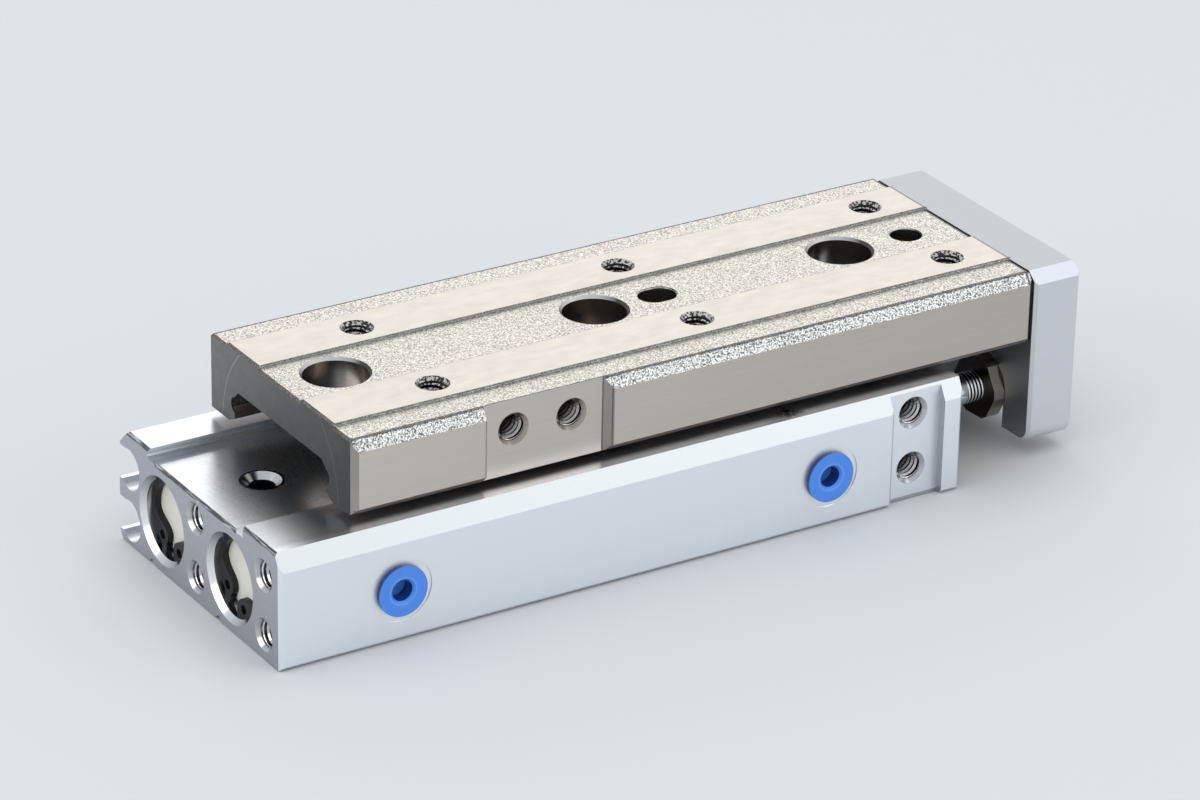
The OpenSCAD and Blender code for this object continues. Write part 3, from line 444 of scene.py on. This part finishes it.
def anodised_plate():
    """Finer satin anodise on the end plate, duller on its top; painted shade darkens its top
    and inner face, a painted highlight lights its slant.
    """
    f = Finish("anodised_plate", Metallic=1.0)
    x, y, z = f.place()
    nx, _, nz = f.facing()
    top = nz.above(0.8)
    shaded_inner = nx.below(-0.8)
    grain = f.noise(x, y, z, scale=7.0, detail=3.0, rough=0.7)
    satin = f.blend((0.66, 0.67, 0.69), (0.74, 0.75, 0.775), grain)
    # Painted shade: the top and the inner face drawn darker.
    satin = f.blend(satin, (0.507, 0.52, 0.53), top)
    satin = f.blend(satin, (0.33, 0.34, 0.36), shaded_inner)
    slant_highlight = nz.above(0.3) * nz.below(0.8)
    # Painted highlight on the slanted edge.
    satin = f.blend(satin, (0.92, 0.94, 0.97), slant_highlight)
    f.feed("Base Color", satin)
    f.feed("Roughness", 0.44 + 0.08 * top + 0.10 * (grain - 0.5))
    f.emboss(grain, 0.006, 0.4)
    return f.material


def turned_metal(name, dark, light, rough, pitch=5.0):
    """Metal turned on the X axis: faint rings along the length."""
    f = Finish(name, Metallic=1.0)
    x, y, z = f.place()
    rings = f.noise(x * pitch, y * 0.4, z * 0.4, detail=3.0)
    f.feed("Base Color", f.blend(dark, light, rings))
    f.feed("Roughness", rough + 0.10 * (rings - 0.5))
    f.emboss(rings, 0.003, 0.4)
    return f.material


def cut_thread(name, dark, light):
    """A screw thread's crest, darker towards the bottom of its hole as painted shade."""
    f = Finish(name, Metallic=1.0)
    x, y, z = f.place()
    grain = f.noise(x, y, z, scale=4.0, detail=3.0, rough=0.6)
    deep = f.node("ShaderNodeAttribute", {"attribute_name": "depth"})
    deep = Wire(f, deep.outputs["Fac"]).ramp(0.0, 2.6)
    colour = f.blend(dark, light, grain)
    glint = f.noise(x, y, z, scale=3.0, detail=2.0).ramp(0.46, 0.55)
    # Painted glints: in the table's holes the crest is drawn dark with bright specks.
    inset = z.above(20.0) * abs(y).below(12.0)
    colour = f.blend(colour, f.blend((0.07, 0.065, 0.06), light, glint), inset)
    f.feed("Base Color", f.shade(colour, 1.0 - 0.88 * deep))
    f.feed("Roughness", 0.22 + 0.14 * (grain - 0.5))
    f.emboss(grain, 0.004, 0.4)
    return f.material


def plain_metal(name, dark, light, rough):
    """Metal with a fine even grain."""
    f = Finish(name, Metallic=1.0)
    x, y, z = f.place()
    grain = f.noise(x, y, z, scale=4.0, detail=3.0, rough=0.6)
    f.feed("Base Color", f.blend(dark, light, grain))
    f.feed("Roughness", rough + 0.14 * (grain - 0.5))
    f.emboss(grain, 0.004, 0.4)
    return f.material


def moulded(name, dark, light, rough, **constants):
    """Moulded plastic or rubber with a slight cloudiness and a fine skin."""
    f = Finish(name, **constants)
    x, y, z = f.place()
    cloud = f.noise(x, y, z, scale=0.9, detail=3.0)
    skin = f.noise(x, y, z, scale=8.0, detail=2.0)
    f.feed("Base Color", f.blend(dark, light, cloud))
    f.feed("Roughness", rough + 0.12 * (cloud - 0.5))
    f.emboss(skin, 0.004, 0.5)
    return f.material


def nut_bronze():
    """Blackened bronze: bronze flats, chamfers painted lighter as highlight, flat end faces
    painted near black as shade.
    """
    f = Finish("dark_bronze", Metallic=1.0)
    x, y, z = f.place()
    nx = f.facing()[0]
    grain = f.noise(x, y, z, scale=4.0, detail=3.0, rough=0.6)
    flats = f.blend((0.44, 0.38, 0.30), (0.64, 0.565, 0.46), grain)
    chamfer_highlight = abs(nx).above(0.2) * abs(nx).below(0.85)
    flats = f.blend(flats, (0.74, 0.72, 0.62), chamfer_highlight)
    # Painted shade: the flat end faces drawn near black.
    f.feed("Base Color", f.blend(flats, (0.055, 0.046, 0.038), abs(nx).above(0.85)))
    f.feed("Roughness", 0.30 + 0.12 * (grain - 0.5))
    f.emboss(grain, 0.004, 0.4)
    return f.material


def rod_steel():
    """Polished hard-chromed rod, with a fine screw thread rolled on its last few turns."""
    f = Finish("polished_rod", Metallic=1.0)
    x, y, z = f.place()
    rings = f.noise(x * 5.0, y * 0.4, z * 0.4, detail=3.0)
    nut_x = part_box("rod_nut_near")[0].x * PER_METRE
    rolled_l, pitch = 2.3, 0.5
    rolled = x.above(nut_x - rolled_l)
    thread = 0.5 + 0.5 * (x * (2.0 * math.pi / pitch) + z * 0.8).sine()
    plain = f.blend((0.86, 0.88, 0.91), (0.97, 0.975, 0.98), rings)
    # Painted shade in the grooves of the rolled thread.
    f.feed("Base Color", f.shade(plain, 1.0 - 0.55 * rolled * thread.ramp(0.6, 0.95)))
    f.feed("Roughness", 0.10 + 0.12 * rolled)
    f.emboss(thread * rolled, 0.10, 0.8)
    return f.material


def plug_blue():
    """Blue moulded plug: glossy face, a painted highlight ring at the socket's lip, painted
    shade on the rim behind the flange and in the socket.
    """
    f = Finish("blue_plug", Coat_Weight=0.25, Coat_Roughness=0.2)
    x, y, z = f.place()
    ny = f.facing()[1]
    rear, front = spot("air_port_rear"), spot("air_port_front")
    across = from_pair(x, (rear[0] + front[0]) / 2, front[0] - rear[0])
    reach = (across * across + (z - rear[2]) * (z - rear[2])).root()
    face = ny.below(-0.5)
    socket_r, lip_r, rim_r = 1.6, 1.75, 2.9
    cloud = f.noise(x, y, z, scale=0.9, detail=3.0)
    skin = f.noise(x, y, z, scale=8.0, detail=2.0)
    colour = f.blend((0.045, 0.215, 0.76), (0.065, 0.265, 0.84), cloud)
    # Painted highlight: a bright ring on the face at the socket's lip.
    painted_lip_light = (1.0 - abs(reach - lip_r).ramp(0.0, 0.22)) * face
    colour = f.blend(colour, (0.14, 0.36, 0.90), 0.7 * painted_lip_light)
    # Painted shade on the rim behind the flange and inside the socket.
    colour = f.blend(colour, (0.010, 0.03, 0.13), reach.above(rim_r) * (1.0 - face))
    colour = f.blend(colour, (0.014, 0.05, 0.22), reach.below(socket_r) * (1.0 - face))
    f.feed("Base Color", colour)
    f.feed("Roughness", 0.34 + 0.12 * (cloud - 0.5))
    f.emboss(skin, 0.004, 0.5)
    return f.material


FINISHES = {
    "body": anodised_extrusion(),
    "table": plated_table(),
    "plate": anodised_plate(),
    "ground": plain_metal("ground_steel", (0.46, 0.46, 0.46), (0.58, 0.58, 0.57), 0.28),
    "rod": rod_steel(),
    "turned": turned_metal("turned_aluminium", (0.68, 0.69, 0.71), (0.80, 0.81, 0.83), 0.26),
    "bronze": nut_bronze(),
    "black_ring": plain_metal("black_spring_steel", (0.025, 0.025, 0.027),
                              (0.06, 0.06, 0.062), 0.38),
    "zinc": plain_metal("plated_screw", (0.50, 0.50, 0.51), (0.66, 0.66, 0.66), 0.30),
    "ball": plain_metal("ball_steel", (0.66, 0.67, 0.68), (0.72, 0.73, 0.74), 0.08),
    "magnet": moulded("bonded_magnet", (0.035, 0.035, 0.037), (0.06, 0.06, 0.062), 0.55),
    "blue": plug_blue(),
    "cream": moulded("cream_cap", (0.74, 0.71, 0.62), (0.84, 0.82, 0.74), 0.42),
    "rubber": moulded("black_rubber", (0.012, 0.012, 0.013), (0.022, 0.022, 0.023), 0.55),
    "urethane": moulded("amber_urethane", (0.30, 0.13, 0.035), (0.42, 0.20, 0.06), 0.36),
    "resin": moulded("dark_resin", (0.03, 0.032, 0.035), (0.05, 0.052, 0.055), 0.42),
}

WEARS = {
    "body": ["body"],
    "table": ["table"],
    "plate": ["end_plate"],
    "ground": ["guide_block", "float_bushing_near", "float_bushing_far"],
    "rod": ["piston_rod_near", "piston_rod_far"],
    "turned": ["piston_near", "piston_far", "rod_cover_near", "rod_cover_far"],
    "bronze": ["rod_nut_near", "rod_nut_far"],
    "black_ring": ["retaining_rings", "rod_cover_rings"],
    "zinc": ["guide_screws", "cover_screws", "plate_screws", "rod_end_washers",
             "rod_end_nuts"],
    "ball": ["guide_balls"],
    "magnet": ["piston_magnets"],
    "blue": ["port_plug_rear", "port_plug_front"],
    "cream": ["head_cap_near", "head_cap_far"],
    "rubber": ["end_seal_rear", "end_seal_front", "rod_seals", "piston_seals",
               "head_cap_orings", "rod_cover_orings"],
    "urethane": ["rear_bumpers", "rod_bumpers"],
    "resin": ["return_cover_rear", "return_cover_front"],
}

for finish, wearers in WEARS.items():
    for wearer in wearers:
        NODES[wearer].data.materials.clear()
        NODES[wearer].data.materials.append(FINISHES[finish])


# ---------------------------------------------------------------- screw threads

def basis(axis):
    """Two unit vectors square to axis and to each other."""
    a = np.array(axis, float)
    side = np.array([0.0, 0.0, 1.0]) if abs(a[2]) < 0.9 else np.array([1.0, 0.0, 0.0])
    u = np.cross(a, side)
    u /= np.linalg.norm(u)
    return u, np.cross(a, u)


def grid_mesh(name, points):
    """Closed mesh of a tube given as rows of points: each row is one closed loop."""
    rows, cols, _ = points.shape
    index = np.arange(rows * cols).reshape(rows, cols)
    a = index[:-1]
    b = np.roll(index, -1, axis=1)[:-1]
    c = np.roll(index, -1, axis=1)[1:]
    d = index[1:]
    faces = np.stack([a, b, c, d], axis=-1).reshape(-1, 4).tolist()
    faces.append(index[0][::-1].tolist())
    faces.append(index[-1].tolist())
    mesh = bpy.data.meshes.new(name)
    mesh.from_pydata(points.reshape(-1, 3), [], faces)
    mesh.update()
    return mesh


def thread_ridge(name, mouth, inward, depth, body, finish, wall_r=TAP_R, pitch=M4_PITCH):
    """The crest of an internal screw thread.

    A point of the ridge t turns from its start lies half a pitch and t pitches below the
    mouth. Its distance from the axis is the hole's radius less the height of a blunt
    triangle, which fades in and out over nearly the first and the last turn.
    """
    points_a_turn, fade_turns, faintest = 22, 0.9, 0.04
    height, half_foot, half_tip, sunk = 0.30, 0.40, 0.07, 0.02
    mouth = np.array(mouth) * MM
    inward = np.array(inward, float)
    u, v = basis(inward)
    turns = depth / pitch - 1.0
    t = np.linspace(0.0, turns, int(turns * points_a_turn) + 1)
    fade = np.clip(np.minimum(t, turns - t) / fade_turns, faintest, 1.0)
    crest = height * pitch * fade
    across = np.array([-half_foot, -half_tip, half_tip, half_foot]) * pitch
    in_wall = np.array([True, False, False, True])
    radius = np.where(in_wall, wall_r + sunk, wall_r - crest[:, None])
    along = (t[:, None] + 0.5) * pitch + across[None, :] * fade[:, None]
    turn = 2.0 * np.pi * t[:, None]
    ring = (np.cos(turn)[..., None] * u + np.sin(turn)[..., None] * v)
    points = mouth + MM * (radius[..., None] * ring + along[..., None] * inward)
    mesh = grid_mesh(name, points)
    deep = mesh.attributes.new("depth", "FLOAT", "POINT")
    deep.data.foreach_set("value", np.repeat(t * pitch, 4).astype(np.float32))
    piece = bpy.data.objects.new(name, mesh)
    bpy.context.scene.collection.objects.link(piece)
    mesh.materials.append(finish)
    point_outwards(mesh)
    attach(piece, body)
    "table" if body == "slide" else "body"


def point_outwards(mesh):
    """Recalculates a closed mesh's face directions."""
    work = bmesh.new()
    work.from_mesh(mesh)
    bmesh.ops.recalc_face_normals(work, faces=work.faces)
    work.to_mesh(mesh)
    work.free()


thread_bright = cut_thread("cut_thread", (0.72, 0.73, 0.75), (0.94, 0.95, 0.96))
thread_table = cut_thread("cut_thread_table", (0.50, 0.47, 0.43), (0.74, 0.71, 0.66))

centre = spot("table_dowel_slot")
top = spot("table_m4_rear")[2] - THREAD_START
row_pitch, row_apart = spacing("table_m4_rear", "x"), spacing("table_m4_rear", "y")
for i in (-1, 0, 1):
    for j in (-1, 1):
        thread_ridge(f"table_thread_{i + 2}_{j + 2}",
                     (centre[0] + i * row_pitch, j * row_apart / 2, top),
                     (0, 0, -1), depth=4.4, body="slide", finish=thread_table)

centre = spot("table_side_m4")
for i in (-1, 1):
    along = centre[0] + i * spacing("table_side_m4", "x") / 2
    thread_ridge(f"table_side_thread_{i + 2}", (along, centre[1] + THREAD_START, centre[2]),
                 (0, 1, 0), depth=4.0, body="slide", finish=thread_table)

centre = spot("body_bracket_m4")
for i in (-1, 1):
    up = centre[2] + i * spacing("body_bracket_m4", "y") / 2
    thread_ridge(f"bracket_thread_{i + 2}", (centre[0], centre[1] + THREAD_START, up),
                 (0, 1, 0), depth=4.4, body="base", finish=thread_bright)

centre = spot("body_rear_m4")
for i in (-1, 1):
    for j in (-1, 1):
        across = centre[1] + i * spacing("body_rear_m4", "x") / 2
        up = centre[2] + j * spacing("body_rear_m4", "y") / 2
        thread_ridge(f"rear_thread_{i + 2}_{j + 2}", (centre[0] + THREAD_START, across, up),
                     (1, 0, 0), depth=5.2, body="base", finish=thread_bright)

centre = spot("body_mounting_rear")
for i in (-1, 1, 3):
    along = centre[0] + i * spacing("body_mounting_rear", "x") / 2
    thread_ridge(f"underside_thread_{i + 2}", (along, centre[1], 0.1), (0, 0, 1),
                 depth=7.0, body="base", finish=thread_bright)

# A port's mount lies deeper than the floor of its entry, where the thread starts.
port_out = 1.9
for end in ("rear", "front"):
    centre = spot(f"air_port_{end}")
    thread_ridge(f"port_thread_{end}", (centre[0], centre[1] - port_out, centre[2]),
                 (0, 1, 0), depth=3.8, body="base", finish=thread_bright,
                 wall_r=PORT_TAP_R, pitch=PORT_PITCH)


# ---------------------------------------------------------------- studio and camera

def studio():
    """A pale floor, four soft lights and an even, pale room."""
    half, low = 3.0, -0.0001
    corners = [(-half, -half, low), (half, -half, low), (half, half, low), (-half, half, low)]
    mesh = bpy.data.meshes.new("floor")
    mesh.from_pydata(corners, [], [(0, 1, 2, 3)])
    floor = bpy.data.objects.new("floor", mesh)
    bpy.context.scene.collection.objects.link(floor)
    paper = Finish("studio_paper", Roughness=0.9)
    paper.shader.inputs["Base Color"].default_value = (0.537, 0.551, 0.560, 1)
    paper.shader.inputs["Specular IOR Level"].default_value = 0.1
    mesh.materials.append(paper.material)

    def soft_light(name, place, aim, size, power):
        lamp = bpy.data.lights.new(name, "AREA")
        lamp.shape = "RECTANGLE"
        lamp.size, lamp.size_y = size
        lamp.energy = power
        holder = bpy.data.objects.new(name, lamp)
        holder.location = place
        look = Vector(aim) - Vector(place)
        holder.rotation_euler = look.to_track_quat("-Z", "Y").to_euler()
        bpy.context.scene.collection.objects.link(holder)
        return holder

    overhead = soft_light("overhead", (0.0, -0.05, 0.9), (0.05, -0.05, 0), (1.1, 1.1), 5.2)
    # From above, the flat metal would mirror this lamp as bare white.
    overhead.visible_glossy = False
    soft_light("back_card", (0.60, 0.90, 0.55), (0.05, 0, 0.02), (1.4, 0.7), 2.9)
    soft_light("left_card", (-0.95, 0.05, 0.55), (0.0, 0, 0.02), (0.9, 0.6), 2.6)
    soft_light("right_card", (0.75, -0.85, 0.60), (0.06, 0, 0.02), (0.9, 0.6), 2.2)

    world = bpy.data.worlds.new("room")
    bpy.context.scene.world = world
    world.use_nodes = True
    sky = world.node_tree.nodes["Background"]
    sky.inputs["Color"].default_value = (0.90, 0.95, 1.0, 1)
    sky.inputs["Strength"].default_value = 0.80


def camera():
    """A long lens that looks down on the near side and the rear end."""
    lens = bpy.data.cameras.new("camera")
    lens.sensor_width = 36.0
    lens.lens = 158.77
    lens.clip_start = 0.01
    holder = bpy.data.objects.new("camera", lens)
    holder.location = (-0.25772, -0.49355, 0.29222)
    holder.rotation_euler = (math.radians(64.4815), math.radians(-1.0891),
                             math.radians(-31.9270))
    bpy.context.scene.collection.objects.link(holder)
    bpy.context.scene.camera = holder


studio()
camera()
bpy.context.scene.view_settings.view_transform = "Standard"
bpy.context.scene.view_settings.look = "None"
